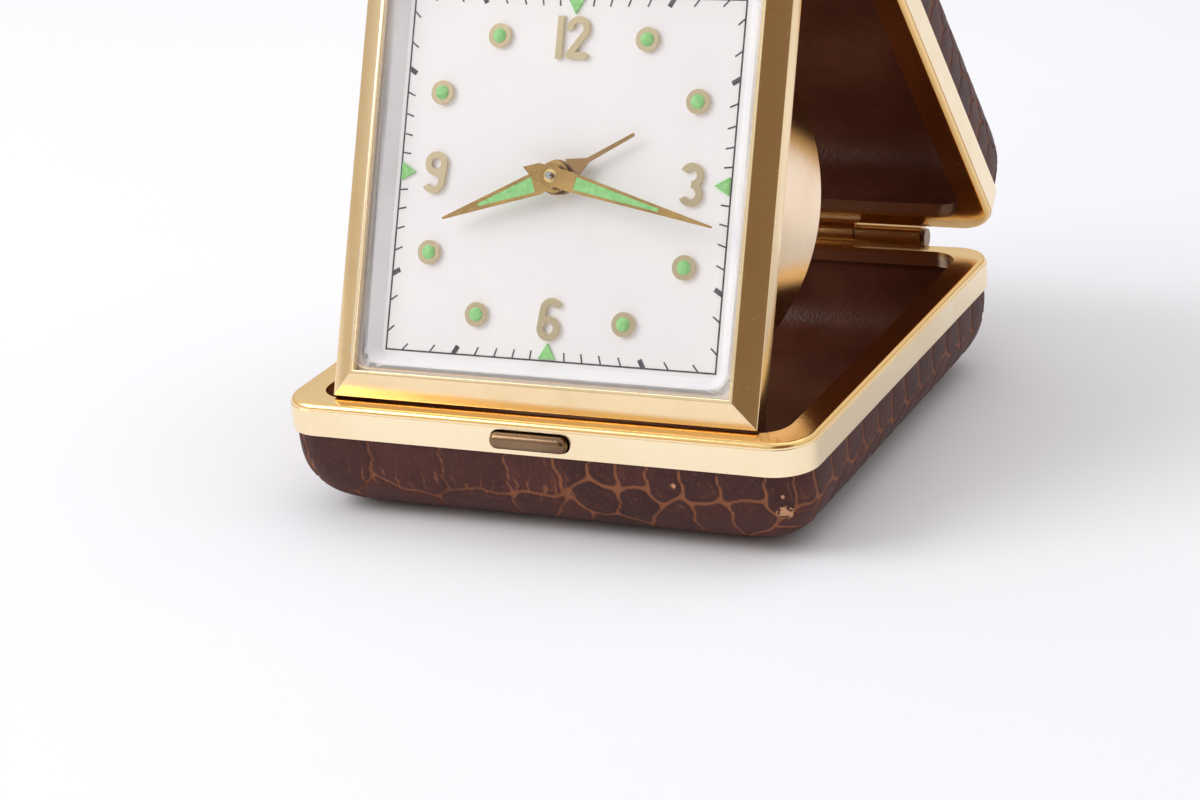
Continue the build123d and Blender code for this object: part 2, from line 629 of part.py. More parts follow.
minute_window = [(0.2, 14.8), (-0.2, 14.8), (-0.8, 3.4), (0.8, 3.4)]
hour_window = [(0.18, 10.6), (-0.18, 10.6), (-1.0, 2.9), (1.0, 2.9)]
for name, w, turn, window, sizes in (
        ("minute", minute_w, minute_turn, minute_window,
         (minute_len, 2.4, 2.6, minute_tail, 2.1, 1.5, 0.8)),
        ("hour", hour_w, hour_turn, hour_window, (hour_len, 2.9, 2.3, 1.9, 1.2, 1.95, 1.25))):
    place = clock_at * Pos(0, 0, w) * Rot(0, 0, turn)
    with BuildPart() as blade:
        hand(*sizes, window)
    save(name + "_hand", blade, place)
    with BuildPart() as pane:
        with BuildSketch(Plane.XY.offset(hand_t * 0.15)):
            Polygon(*window, align=None)
        extrude(amount=hand_t * 0.7)
    save(name + "_lume", pane, place)
with BuildPart() as pointer:
    with BuildSketch():
        Polygon((-0.2, alarm_len), (0.2, alarm_len), (0.28, 4.5), (1.5, 1.9), (-1.5, 1.9), (-0.28, 4.5),
                align=None)
        Circle(2.15)
        Circle(1.7, mode=Mode.SUBTRACT)
    extrude(amount=hand_t)
save("alarm_hand", pointer, clock_at * Pos(0, 0, alarm_w) * Rot(0, 0, -alarm_at))

# going barrel, alarm barrel, third wheel, escapement platform and balance
barrel_top = front_low - 2.4
with BuildPart() as going:
    wheel(barrel_teeth, train_module, barrel_top - 1.0, barrel_top, 0,
          barrel_angle + 180 + 180 / barrel_teeth)
    rod(8.4, back_top + 0.3, barrel_top - 1.0)
    rod(7.9, back_top + 0.7, barrel_top - 0.4, mode=Mode.SUBTRACT)
    rod(1.8, back_top + 0.3, barrel_top)
    rod(winder_r + run_fit, -20, 0, mode=Mode.SUBTRACT)
save("time_barrel", going, clock_at * Location((barrel_at[0], barrel_at[1], 0)))
with BuildPart() as still:
    rod(alarm_barrel_r, back_top, barrel_top, alarm_barrel_at)
    rod(alarm_barrel_r - 0.5, back_top + 0.5, barrel_top - 0.5, alarm_barrel_at, mode=Mode.SUBTRACT)
    rod(1.8, back_top, barrel_top, alarm_barrel_at)
    rod(winder_r + run_fit, -20, 0, alarm_barrel_at, mode=Mode.SUBTRACT)
save("alarm_barrel", still, clock_at)
with BuildPart() as third:
    rod(third_arbor_r, back_top - 0.5, front_low + 0.5)
    wheel(third_leaves, train_module, centre_low - 0.1, centre_low + 0.6, 0,
          180 + third_angle + 180 / third_leaves)
    rod(third_r, back_top + 1.2, back_top + 1.7)
    with BuildSketch(Plane.XY.offset(back_top + 1.0)):
        with PolarLocations(3.9, 5):
            Circle(1.5)
    extrude(amount=1.0, mode=Mode.SUBTRACT)
save("third_wheel", third, clock_at * Location((third_at[0], third_at[1], 0)))
staff_low = front_low - 4.6
with BuildPart() as cock:
    block(8.6, 17.9, 3.4, 6.6, front_low - 5.4, front_low - 4.6)
    block(16.3, 17.9, 3.4, 6.6, front_low - 5.4, front_low)
    rod(staff_r + run_fit, front_low - 6, front_low - 3, balance_at, mode=Mode.SUBTRACT)
with BuildPart() as lever_box:
    block(3.2, 10.0, 13.6, 17.9, front_low - 4.2, front_low)
    fillet(lever_box.edges().filter_by(Axis.Z), 0.8)
save("escapement_platform", lever_box, clock_at)
save("balance_cock", cock, clock_at)
with BuildPart() as balance:
    rod(balance_r, front_low - 2.6, front_low - 1.8)
    rod(balance_r - 0.8, front_low - 3, front_low - 1, mode=Mode.SUBTRACT)
    block(-balance_r + 0.4, balance_r - 0.4, -0.5, 0.5, front_low - 2.5, front_low - 1.9)
    rod(1.0, front_low - 2.7, front_low - 1.7)
    rod(staff_r, front_low - 5.2, front_low + 0.4)
save("balance_wheel", balance, clock_at * Location((balance_at[0], balance_at[1], 0)))
with BuildPart() as hairspring:
    for i in range(3):
        r = 1.4 + 0.75 * i
        rod(r + 0.09, front_low - 3.7, front_low - 3.4, balance_at)
        rod(r - 0.09, front_low - 4, front_low - 3, balance_at, mode=Mode.SUBTRACT)
    for x in (1.4, 2.15):
        block(balance_at[0] + x, balance_at[0] + x + 0.75, balance_at[1] - 0.1, balance_at[1] + 0.1,
              front_low - 3.7, front_low - 3.4)
    block(balance_at[0] + 2.75, balance_at[0] + 3.05, balance_at[1] - 0.3, balance_at[1] + 0.3,
          front_low - 4.6, front_low - 3.4)
save("hairspring", hairspring, clock_at)

# alarm bell ring in the drum, and the hammer beside it
bell_low = cover_top + 0.4
with BuildPart() as bell:
    rod(drum_r - drum_t, bell_low, bell_low + 2.2, drum_c)
    rod(drum_r - drum_t - 0.5, -30, 0, drum_c, mode=Mode.SUBTRACT)
save("bell_ring", bell, clock_at)
hammer_low = back_low - 2.3
with BuildPart() as hammer:
    rod(1.0, hammer_low, hammer_low + 1.1)
    block(-0.5, 0.5, 0.0, 7.0, hammer_low + 0.2, hammer_low + 0.9)
    block(-1.2, 1.2, 6.4, 8.6, hammer_low, hammer_low + 1.1)
    rod(0.4 + run_fit, -30, 0, mode=Mode.SUBTRACT)
save("alarm_hammer", hammer, clock_at * Location((hammer_at[0], hammer_at[1], 0)))
with BuildPart() as stud:
    rod(0.4, hammer_low - 0.2, back_low, hammer_at)
    rod(0.8, hammer_low - 0.4, hammer_low - 0.15, hammer_at)
save("hammer_stud", stud, clock_at)

# back cover with its openings
with BuildPart() as cover:
    rod(drum_r, cover_low, cover_top, drum_c)
    rod(drum_r - drum_t, cover_top, cover_top + 0.35, drum_c)
    rod(drum_r - drum_t - 0.6, cover_top, cover_top + 1, drum_c, mode=Mode.SUBTRACT)
    arbor_holes(-30, 0, 0.15)
    with BuildSketch(Plane.XY.offset(cover_low - 1)):
        with Locations((regulator_at[0], regulator_at[1] + regulator_reach - 0.1)):
            SlotOverall(4.4, 1.4)
        with Locations(stop_at):
            SlotOverall(6.4, 1.7)
    extrude(amount=4, mode=Mode.SUBTRACT)
    rod(0.4, cover_top, cover_top + 0.8, regulator_at)
save("back_cover", cover, clock_at)

# controls on the back
with BuildPart() as regulator:
    rod(1.0, cover_top + 0.12, cover_top + 0.5)
    block(-0.5, 0.5, 0, regulator_reach, cover_top + 0.12, cover_top + 0.5)
    rod(0.45, cover_low - 0.7, cover_top + 0.5, (0, regulator_reach))
    rod(0.4 + run_fit, -30, 0, mode=Mode.SUBTRACT)
save("regulator", regulator, clock_at * Location((regulator_at[0], regulator_at[1], 0)))
stop_x = stop_at[0] - stop_travel / 2
with BuildPart() as stop:
    rod(0.7, cover_low - 1.0, cover_top + 0.6, (stop_x, stop_at[1]))
    block(stop_x - 1.5, stop_x + 1.5, stop_at[1] - 1.2, stop_at[1] + 1.2, cover_low - 1.2, cover_low - 0.15)
    block(stop_x - 1.3, stop_x + 1.3, stop_at[1] - 1.2, stop_at[1] + 1.2, cover_top + 0.15, cover_top + 0.6)
    for x in (-0.8, 0.0, 0.8):
        block(stop_x + x - 0.2, stop_x + x + 0.2, stop_at[1] - 2, stop_at[1] + 2,
              cover_low - 2, cover_low - 1.0, Mode.SUBTRACT)
save("alarm_stop", stop, clock_at)
for name, at, bore in (("time_set_knob", (0, 0), arbor_r), ("alarm_set_knob", setter_at, setter_r)):
    with BuildPart() as knob:
        rod(knob_r, knob_top - knob_h, knob_top)
        fillet(knob.edges().group_by(Axis.Z)[0], 0.3)
        with PolarLocations(knob_r + 0.12, 20):
            rod(0.25, knob_top - knob_h - 1, knob_top + 1, mode=Mode.SUBTRACT)
        rod(bore, knob_top - knob_h + 0.3, knob_top + 1, mode=Mode.SUBTRACT)
    save(name, knob, clock_at * Location((at[0], at[1], 0)))
for name, at, turn in (("time_key", barrel_at, 35), ("alarm_key", alarm_barrel_at, -20)):
    with BuildPart() as key:
        with BuildSketch(Plane.XY.offset(knob_top - key_h)) as wings:
            with Locations((-key_half + 2.3, 0), (key_half - 2.3, 0)):
                Ellipse(2.3, 1.15)
            Rectangle(2 * key_half - 4, 1.1)
            Circle(1.8)
        extrude(wings.sketch, amount=key_h)
        rod(winder_r, knob_top - 0.1, front_low - 0.1)
    save(name, key, clock_at * Location((at[0], at[1], 0), (0, 0, turn)))
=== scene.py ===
"""The visual model of a folding travel alarm clock, standing open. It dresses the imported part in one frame,
in metres: brass rims, a reptile-grain leather covering, a white dial, gilt hands and the works."""
import math

import bpy
import numpy as np
from mathutils import Matrix, Vector


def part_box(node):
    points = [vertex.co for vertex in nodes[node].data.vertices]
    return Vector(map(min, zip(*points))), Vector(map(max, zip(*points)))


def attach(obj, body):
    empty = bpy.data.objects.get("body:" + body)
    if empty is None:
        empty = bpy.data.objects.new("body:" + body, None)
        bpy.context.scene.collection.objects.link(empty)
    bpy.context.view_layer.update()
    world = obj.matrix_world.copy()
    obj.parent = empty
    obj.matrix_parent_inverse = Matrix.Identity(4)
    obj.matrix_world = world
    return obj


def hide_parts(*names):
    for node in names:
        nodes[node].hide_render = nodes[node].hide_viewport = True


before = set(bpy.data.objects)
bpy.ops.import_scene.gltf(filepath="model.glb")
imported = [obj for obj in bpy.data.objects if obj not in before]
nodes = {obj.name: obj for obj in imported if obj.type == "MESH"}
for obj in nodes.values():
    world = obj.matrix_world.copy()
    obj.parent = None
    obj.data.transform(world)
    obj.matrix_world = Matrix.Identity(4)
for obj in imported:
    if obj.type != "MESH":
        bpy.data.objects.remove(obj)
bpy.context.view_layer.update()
bpy.ops.object.select_all(action="DESELECT")
scene = bpy.context.scene
scene.view_settings.view_transform = "Standard"

# The place where the clock stands: a seamless pale table in a bright room, with a tall window to the left and
# the darker, warm side of the room behind the lens. The lens is a long one, front right and a little above.
eye = Matrix.Translation((0.154095, -0.326867, 0.141695))
for turn, axis in ((26.420, "Z"), (69.283, "X"), (-5.243, "Z")):
    eye = eye @ Matrix.Rotation(math.radians(turn), 4, axis)
lens = bpy.data.cameras.new("camera")
lens.lens, lens.sensor_width, lens.clip_start, lens.clip_end = 88.75, 36.0, 0.01, 30.0
camera = bpy.data.objects.new("camera", lens)
scene.collection.objects.link(camera)
camera.matrix_world = eye
scene.camera = camera


class Wire:
    """An output in a material. Sums and products of wires add the nodes that work them out."""

    def __init__(self, tree, socket=None):
        self.tree, self.socket = tree, socket

    def node(self, kind, settings, inputs, output=0):
        """Adds a node: its settings by name, then a value or a wire for each named or numbered socket."""
        made = self.tree.nodes.new("ShaderNode" + kind)
        for key, value in settings.items():
            setattr(made, key, value)
        for key, value in inputs.items():
            if isinstance(value, Wire):
                self.tree.links.new(value.socket, made.inputs[key])
            else:
                made.inputs[key].default_value = value
        return Wire(self.tree, made.outputs[output])

    def maths(self, operation, *values):
        return self.node("Math", {"operation": operation}, dict(enumerate(values)))

    def __add__(self, other):
        return self.maths("ADD", self, other)

    def __radd__(self, other):
        return self.maths("ADD", other, self)

    def __sub__(self, other):
        return self.maths("SUBTRACT", self, other)

    def __rsub__(self, other):
        return self.maths("SUBTRACT", other, self)

    def __mul__(self, other):
        return self.maths("MULTIPLY", self, other)

    def __truediv__(self, other):
        return self.maths("DIVIDE", self, other)

    def __pow__(self, other):
        return self.maths("POWER", self, other)

    def between(self, low, high):
        """0 below one value and 1 above the other, with a smooth step."""
        return self.node("MapRange", {"interpolation_type": "SMOOTHSTEP"},
                         {"Value": self, "From Min": low, "From Max": high})

    def mix(self, first, second):
        """The colour between two colours, with this wire as the share of the second."""
        return self.node("Mix", {"data_type": "RGBA"}, {0: self, 6: first, 7: second}, 2)

    def grain(self, scale, detail=3.0, rough=0.55, stretch=(1.0, 1.0, 1.0)):
        """Noise over a piece, in features of about one part in the scale of a metre."""
        spread = self.node("Mapping", {}, {"Vector": self, "Scale": stretch})
        return self.node("TexNoise", {},
                         {"Vector": spread, "Scale": scale, "Detail": detail, "Roughness": rough})


def srgb(red, green, blue):
    """The linear colour of a screen colour given in 0 to 255."""
    return tuple((c / 255 / 12.92 if c < 11 else ((c / 255 + 0.055) / 1.055) ** 2.4)
                 for c in (red, green, blue)) + (1.0,)


def new_finish(name, colour, rough, metallic=0.0):
    """Makes a material. Gives it back with its shader, and with the wire of the piece's own coordinates."""
    finish = bpy.data.materials.new(name)
    finish.use_nodes = True
    tree = finish.node_tree
    shader = tree.nodes["Principled BSDF"]
    shader.inputs["Base Color"].default_value = colour
    shader.inputs["Roughness"].default_value = rough
    shader.inputs["Metallic"].default_value = metallic
    place = Wire(tree, tree.nodes.new("ShaderNodeTexCoord").outputs["Object"])
    return finish, shader, place


def drive(shader, **wires):
    """Feeds wires to a shader's sockets. A height comes with its depth, and goes through a Bump to Normal."""
    for key, wire in wires.items():
        if key == "Height":
            wire, distance = wire
            wire = wire.node("Bump", {}, {"Strength": 1.0, "Distance": distance, "Height": wire})
            key = "Normal"
        wire.tree.links.new(wire.socket, shader.inputs[key.replace("_", " ")])


table_size = 12.0  # far more than the picture shows
table_paper, shader, place = new_finish("table paper", srgb(250, 249, 251), 0.9)
shader.inputs["Specular IOR Level"].default_value = 0.1
drive(shader, Base_Color=place.grain(3.0).between(0.3, 0.7).mix(srgb(250, 249, 252), srgb(246, 246, 250)))
bpy.ops.mesh.primitive_plane_add(size=table_size)
table = bpy.context.object
table.name = "table"
table.data.materials.append(table_paper)

room_paint = bpy.data.worlds.new("room")
scene.world = room_paint
room_paint.use_nodes = True
room_tree = room_paint.node_tree
way = Wire(room_tree, room_tree.nodes.new("ShaderNodeTexCoord").outputs["Generated"])
low_wall, high_wall, dark_wall = srgb(216, 202, 182), srgb(250, 252, 255), srgb(140, 114, 82)
backdrop, room_light = srgb(252, 252, 253), 0.84  # what the lens sees, and the strength of the room's light
dark_side = Vector((0.50, -0.78, 0.42)).normalized()
rise = way.node("SeparateXYZ", {}, {0: way}, 2)
room_tone = rise.between(0.02, 0.45).mix(low_wall, high_wall)
toward = way.node("VectorMath", {"operation": "DOT_PRODUCT"}, {0: way, 1: dark_side}, 1)
room_tone = toward.between(0.80, 0.95).mix(room_tone, dark_wall)
seen = Wire(room_tree, room_tree.nodes.new("ShaderNodeLightPath").outputs["Is Camera Ray"])
room_tone = seen.mix(room_tone, backdrop)
room_tree.links.new(room_tone.socket, room_tree.nodes["Background"].inputs["Color"])
room_tree.nodes["Background"].inputs["Strength"].default_value = room_light
lit_spot = Vector((0.0, 0.0, 0.03))  # both lamps point at the middle of the clock
for name, spot, size, watts in (("window", (-0.64, -0.40, 0.62), 0.6, 4.2),
                                ("ceiling", (0.25, 0.30, 1.15), 0.9, 1.3)):
    lamp = bpy.data.lights.new(name, "AREA")
    lamp.size, lamp.energy = size, watts
    holder = bpy.data.objects.new(name, lamp)
    scene.collection.objects.link(holder)
    holder.location = spot
    holder.rotation_euler = (lit_spot - Vector(spot)).to_track_quat("-Z", "Y").to_euler()

# Base rim: a drawn frame of sheet brass, polished and lacquered, with a bead round the top of its band, a
# flat flange inside that and a lip turned down at the opening. Its lacquer is worn thin and a little cloudy.


def metal(name, colour, tarnish, rough, wear=0.3, face=None, wiped=(1.0, 9.0, 9.0)):
    """Polished metal with cloudy tarnish, fine wiping marks and small specks. A face with a painted
    reflection in another colour is given by its direction, its place along that, the depth of its fading, its
    colour and extra roughness."""
    finish, shader, place = new_finish(name, colour, rough, 1.0)
    marked = 0.07  # what the marks and clouds below add to the roughness, about
    cloud = place.grain(95.0, 4.0)
    speck = place.grain(1900.0, 2.0).between(0.68, 0.78)
    marks = place.grain(240.0, 5.0, 0.7, wiped)
    shown = (cloud.between(0.42, 0.78) * wear + speck * 0.3).mix(colour, tarnish)
    dull = marks * 0.10 + cloud * 0.05 + (rough - marked) + speck * 0.15
    if face:
        up, level, depth, reflection_colour, duller = face
        height = place.node("VectorMath", {"operation": "DOT_PRODUCT"}, {0: place, 1: up}, 1)
        on_reflection = height.between(level - depth, level - depth * 0.55)
        # The face's colour is a painted reflection, faded in down to the given depth.
        shown = (on_reflection * (0.95 - cloud * 0.3)).mix(shown, reflection_colour)
        dull = on_reflection * duller + dull
    drive(shader, Base_Color=shown, Roughness=dull, Height=(marks + place.grain(900.0, 3.0) * 0.3, 0.000012))
    return finish


def dress(names, finish, rounding=0.0, broad=32.0):
    """Gives parts of the frame their finish, and smooth curves between the edges that are over a broad
    angle. A flat-faced part may have those edges rounded."""
    same_spot, same_plane = 2e-6, math.radians(0.8)
    for name in names:
        part = nodes[name]
        part.data.materials.clear()
        part.data.materials.append(finish)
        part.data.polygons.foreach_set("use_smooth", [True] * len(part.data.polygons))
        weld = part.modifiers.new("weld", "WELD")
        weld.merge_threshold = same_spot
        if rounding:
            flat = part.modifiers.new("flat", "DECIMATE")
            flat.decimate_type, flat.angle_limit = "DISSOLVE", same_plane
            soft = part.modifiers.new("soft", "BEVEL")
            soft.width, soft.segments, soft.limit_method = rounding, 2, "ANGLE"
            soft.angle_limit, soft.harden_normals = math.radians(broad), True
        else:
            split = part.modifiers.new("split", "EDGE_SPLIT")
            split.split_angle = math.radians(broad)


# The deeper gold over the top of each rim, its bead and flange, is a painted reflection of the clock and the
# dark case inside.
rim_gold, rim_tarnish, flange_reflection_gold = srgb(255, 236, 200), srgb(230, 184, 116), srgb(252, 203, 122)
rim_rough, rim_wear = 0.14, 0.22
half_high, reflection_fade = 0.0152, 0.0008  # a half's whole height, and how far its flange's colour reaches down
base_brass = metal("base rim brass", rim_gold, rim_tarnish, rim_rough, rim_wear,
                   ((0.0, 0.0, 1.0), half_high, reflection_fade, flange_reflection_gold, 0.0))
dress(["base_rim"], base_brass)

# Base tray: the pressed sheet-steel pan that gives the base its shape, closed in between leather and lining
# and crimped under the rim. Only its cut edge can be seen, where the catch passes through it.
tray_steel = metal("tray steel", srgb(150, 146, 140), srgb(92, 80, 70), rough=0.42)
dress(["base_tray"], tray_steel)

# Base lining: thin glazed leather paper, chocolate brown, pasted into the pan and ending under the flange. It
# has a fine pebble. Broad patches of a lighter brown over it are painted sheen, and are a little rougher and
# raised.
lining_paper, shader, place = new_finish("lining", srgb(108, 58, 40), 0.36)
sheen_patches = place.grain(60.0, 3.0)
pebble = place.grain(2400.0, 3.0)
# The lighter brown of the broad patches is painted sheen.
drive(shader, Base_Color=sheen_patches.between(0.35, 0.7).mix(srgb(102, 53, 36), srgb(130, 78, 58)),
      Roughness=sheen_patches * 0.22 + pebble * 0.08 + 0.2, Height=(pebble + sheen_patches * 0.6, 0.00006))
dress(["base_lining"], lining_paper)

# Leather covering of the base: one skin moulded wet over the sheet tray, its edge tucked under the rim. Broad
# belly scales lie to the left and small round flank scales to the right, with paler grooves between them.
cover_wide, cover_deep, cover_corner = 0.070, 0.073, 0.005
# Rows down the skin's outer and inner face: the depth below the rim's top, and how far in the row stands.
cover_rows = ((0.0040, 0.00025), (0.0062, 0.00027), (0.0084, 0.00045), (0.0104, 0.00105), (0.0121, 0.00205),
              (0.0134, 0.00335), (0.01435, 0.0050), (0.01495, 0.0069), (half_high, 0.0092))
cover_inside = ((0.0040, 0.00115), (0.0084, 0.00135), (0.0118, 0.0029), (0.0139, 0.0064))
# The middles of the scales across the front of the base, in millimetres to the right and above the table.
front_scales = ((7.8, 6.7), (8.8, 9.7), (12.2, 9.6), (13.2, 5.9), (16.5, 9.0), (21.1, 9.2), (17.6, 4.2),
                (22.5, 4.8), (26.2, 9.2), (27.3, 5.6), (32.5, 8.4), (3.1, 2.4), (8.8, 1.1), (5.0, 10.1),
                (-28.2, 8.2), (-17.6, 8.2), (-8.3, 8.5), (0.1, 8.9), (-20.1, 2.0), (-8.1, 2.9), (0.7, 3.3))


def wall_inset(depth):
    """How far in the skin's outer face stands at a depth below the rim's top."""
    return float(np.interp(depth, [row[0] for row in cover_rows], [row[1] for row in cover_rows]))


def scale_centres(chance):
    """The middles of the scales, in metres in the frame of one half of the case: down its four sides and
    over its flat bottom. The base is chance 1, and its front has the scales of the list above."""
    centres = []
    if chance == 1:
        for across, height in front_scales:
            depth = half_high - height / 1000
            centres.append((across / 1000, wall_inset(depth) - cover_deep / 2, -depth))
    dice = np.random.RandomState(chance)
    broad, small, broad_end = 0.0088, 0.0052, 0.004  # the scales' widths, and where the broad ones end
    broad_rows, small_rows, corner_room = (0.0078, 0.0136), (0.0066, 0.0105, 0.0139), 0.004
    sides = ((1, 0, cover_wide, cover_deep, 0.0046), (-1, 0, cover_wide, cover_deep, broad),
             (0, 1, cover_deep, cover_wide, 0.0062), (0, -1, cover_deep, cover_wide, small))
    for east, north, span, length, pitch in sides:
        if north == -1 and chance == 1:
            continue
        for depth in small_rows if pitch < 0.006 else broad_rows:
            count = int((length - corner_room) / pitch)
            for k in range(count):
                along = (k + 0.5 + 0.25 * (depth > 0.01)) * length / count - length / 2
                along += dice.uniform(-0.15, 0.15) * pitch
                deep = depth + dice.uniform(-0.0006, 0.0006)
                out = span / 2 - wall_inset(deep)
                centres.append((east * out + abs(north) * along, north * out + abs(east) * along, -deep))
    left_end, right_end, first_row, row_step = -0.0245, 0.0255, -0.0256, 0.0064
    for row in range(9):
        across = left_end
        while across < right_end:
            pitch = broad if across < broad_end else small
            shift = 0.0 if across < broad_end else small / 2 * (row % 2)
            lift = dice.uniform(-0.0004, 0.0004) * (1 if across < broad_end else 2)
            centres.append((across + pitch / 2 + dice.uniform(-0.0005, 0.0005),
                            first_row + row_step * row + shift + lift, -half_high))
            across += pitch
    return np.array(centres)


def pick(piece, kind, wanted):
    """Goes to edit mode with only the faces or edges selected that a rule on their corners wants."""
    bpy.ops.object.mode_set(mode="EDIT")
    bpy.ops.mesh.select_mode(type=kind)
    bpy.ops.mesh.select_all(action="DESELECT")
    bpy.ops.object.mode_set(mode="OBJECT")
    for item in piece.data.edges if kind == "EDGE" else piece.data.polygons:
        item.select = wanted([piece.data.vertices[v].co for v in item.vertices])
    bpy.ops.object.mode_set(mode="EDIT")


def step_in(drop, inset, further):
    """Draws what is selected on by a step, down and inwards, as the rows of a bowl."""
    bpy.ops.mesh.extrude_region_move(TRANSFORM_OT_translate={"value": (0.0, 0.0, -drop)})
    bpy.ops.transform.resize(value=((cover_wide - 2 * further) / (cover_wide - 2 * inset),
                                    (cover_deep - 2 * further) / (cover_deep - 2 * inset), 1.0),
                             center_override=(0.0, 0.0, 0.0))


def emboss(piece, chance):
    """Presses the scales into a skin, and notes on its points where the grooves round them are, the ridges
    beside those, each scale's tint and the creases."""
    count = len(piece.data.vertices)
    spots, normals = np.zeros(count * 3), np.zeros(count * 3)
    piece.data.vertices.foreach_get("co", spots)
    piece.data.vertex_normals.foreach_get("vector", normals)
    spots, normals = spots.reshape(-1, 3), normals.reshape(-1, 3)
    warp = spots
    for sway, waves, turned in ((0.00035, 900.0, [1, 2, 0]), (0.0002, 2100.0, [2, 0, 1])):
        warp = warp + sway * np.sin(spots[:, turned] * waves)
    centres = scale_centres(chance)
    tints = np.random.RandomState(chance + 20).uniform(0.0, 1.0, len(centres))
    groove, ridge, tint, middle = (np.zeros(count) for _ in range(4))
    round_corner, line_half, ridge_out = 0.0002, 0.00022, 0.0009
    batch = 8000  # points at a time, for the sake of memory
    # Each point's way to the nearest line between two scales, rounded where lines meet.
    for start in range(0, count, batch):
        near = warp[start:start + batch]
        away = np.linalg.norm(near[:, None, :] - centres[None], axis=2)
        order = np.argpartition(away, 3, axis=1)[:, :4]
        order = np.take_along_axis(order, np.argsort(np.take_along_axis(away, order, 1), 1), 1)
        first = np.take_along_axis(away, order[:, :1], 1)[:, 0]
        merged = np.zeros(len(near))
        for other in (1, 2, 3):
            far = np.take_along_axis(away, order[:, other:other + 1], 1)[:, 0]
            apart = np.linalg.norm(centres[order[:, 0]] - centres[order[:, other]], axis=1)
            edge = (far ** 2 - first ** 2) / (2 * apart)
            merged += np.exp(-edge / round_corner)
        to_edge = np.maximum(-round_corner * np.log(merged), 0.0)
        groove[start:start + batch] = np.exp(-(to_edge / line_half) ** 2)
        ridge[start:start + batch] = np.exp(-((to_edge - ridge_out) / line_half) ** 2)
        tint[start:start + batch] = tints[order[:, 0]]
        middle[start:start + batch] = first
    # Creases across the broad scales of the front and back walls, clear of each scale's middle.
    crease_down, crease_half, crease_end, wall_from = 0.0089, 0.0016, 0.006, 0.032
    crease = np.exp(-((spots[:, 2] + crease_down) / crease_half) ** 2)
    crease *= (spots[:, 0] < crease_end) * (np.abs(spots[:, 1]) > wall_from)
    crease *= np.clip((middle - 0.0008) / 0.001, 0, 1)
    groove_deep, ridge_deep, crown, crown_reach = 0.0002, 0.00005, 0.00006, 0.004
    sunk = groove_deep * groove + ridge_deep * ridge + crown * np.clip(middle / crown_reach, 0, 1)
    spots = spots - normals * sunk[:, None]
    piece.data.vertices.foreach_set("co", spots.reshape(-1))
    for label, values in (("groove", groove), ("ridge", ridge), ("tint", tint), ("crease", crease)):
        stored = piece.data.attributes.new(label, "FLOAT", "POINT")
        stored.data.foreach_set("value", values.astype(np.float32))


def skin(name, chance, place_it, body, stands_for):
    """Models one half's covering as a bowl with a turned-in edge, and moves it to its place."""
    top_depth, top_inset = cover_rows[0]
    corner_steps, side_cuts = 4, 19
    long_side, slack = 0.03, 1e-5  # less than the plane's four sides, and how far off its level a row may be
    bpy.ops.object.select_all(action="DESELECT")
    bpy.ops.mesh.primitive_plane_add(size=1.0)
    piece = bpy.context.object
    piece.name = name
    bpy.ops.object.mode_set(mode="EDIT")
    bpy.ops.mesh.select_all(action="SELECT")
    bpy.ops.transform.resize(value=(cover_wide - 2 * top_inset, cover_deep - 2 * top_inset, 1.0))
    bpy.ops.transform.translate(value=(0.0, 0.0, -top_depth))
    bpy.ops.mesh.bevel(offset=cover_corner, segments=corner_steps, affect="VERTICES")
    pick(piece, "EDGE", lambda ends: (ends[0] - ends[1]).length > long_side)
    bpy.ops.mesh.subdivide(number_cuts=side_cuts)
    pick(piece, "FACE", lambda corners: True)
    for (depth, inset), (lower, further) in zip(cover_rows, cover_rows[1:]):
        step_in(lower - depth, inset, further)
    pick(piece, "FACE", lambda corners: len(corners) > 4)
    bpy.ops.mesh.delete(type="ONLY_FACE")
    pick(piece, "EDGE", lambda ends: max(end.z for end in ends) < -half_high + slack)
    bpy.ops.mesh.fill_grid(span=side_cuts + corner_steps)
    bpy.ops.mesh.select_all(action="SELECT")
    bpy.ops.mesh.normals_make_consistent(inside=False)
    bpy.ops.object.mode_set(mode="OBJECT")
    round_off = piece.modifiers.new("round off", "SUBSURF")
    round_off.levels = round_off.render_levels = 3
    bpy.ops.object.modifier_apply(modifier=round_off.name)
    emboss(piece, chance)
    pick(piece, "EDGE", lambda ends: min(end.z for end in ends) > -top_depth - slack)
    step_in(0.0, top_inset, cover_inside[0][1])
    for (depth, inset), (lower, further) in zip(cover_inside, cover_inside[1:]):
        step_in(lower - depth, inset, further)
    bpy.ops.mesh.edge_face_add()
    bpy.ops.object.mode_set(mode="OBJECT")
    piece.data.polygons.foreach_set("use_smooth", [True] * len(piece.data.polygons))
    piece.data.transform(place_it)
    piece.data.materials.append(leather)
    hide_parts(stands_for)
    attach(piece, body)


leather, shader, place = new_finish("leather", srgb(72, 38, 33), 0.45)
shader.inputs["Specular IOR Level"].default_value = 0.3
groove, ridge, crease, tint = (place.node("Attribute", {"attribute_name": label}, {}, 2)
                               for label in ("groove", "ridge", "crease", "tint"))
grain = place.grain(2500.0, 4.0, 0.7)
mottle = place.grain(260.0, 4.0, 0.6)
worn = place.grain(70.0, 2.0)
top = (tint * 0.32 + mottle * 0.8).between(0.25, 0.95).mix(srgb(56, 24, 21), srgb(82, 38, 32))
top = grain.between(0.5, 0.78).mix(top, srgb(106, 58, 46))
line = groove.between(0.1, 0.95) * (worn.between(0.3, 0.7) * 0.45 + mottle * 0.5 + 0.3)
across = place.node("SeparateXYZ", {}, {0: place}, 0)
wave = across * 3400.0 + place.grain(420.0, 2.0) * 9.0 + tint * 7.0
wrinkle = wave.maths("SINE", wave).between(0.62, 0.98) * crease * mottle.between(0.3, 0.6)
line = (line + ridge * mottle.between(0.4, 0.7) * 0.45 + wrinkle * 0.6).between(-0.1, 1.0)
chips = place.grain(1100.0, 4.0, 0.7)
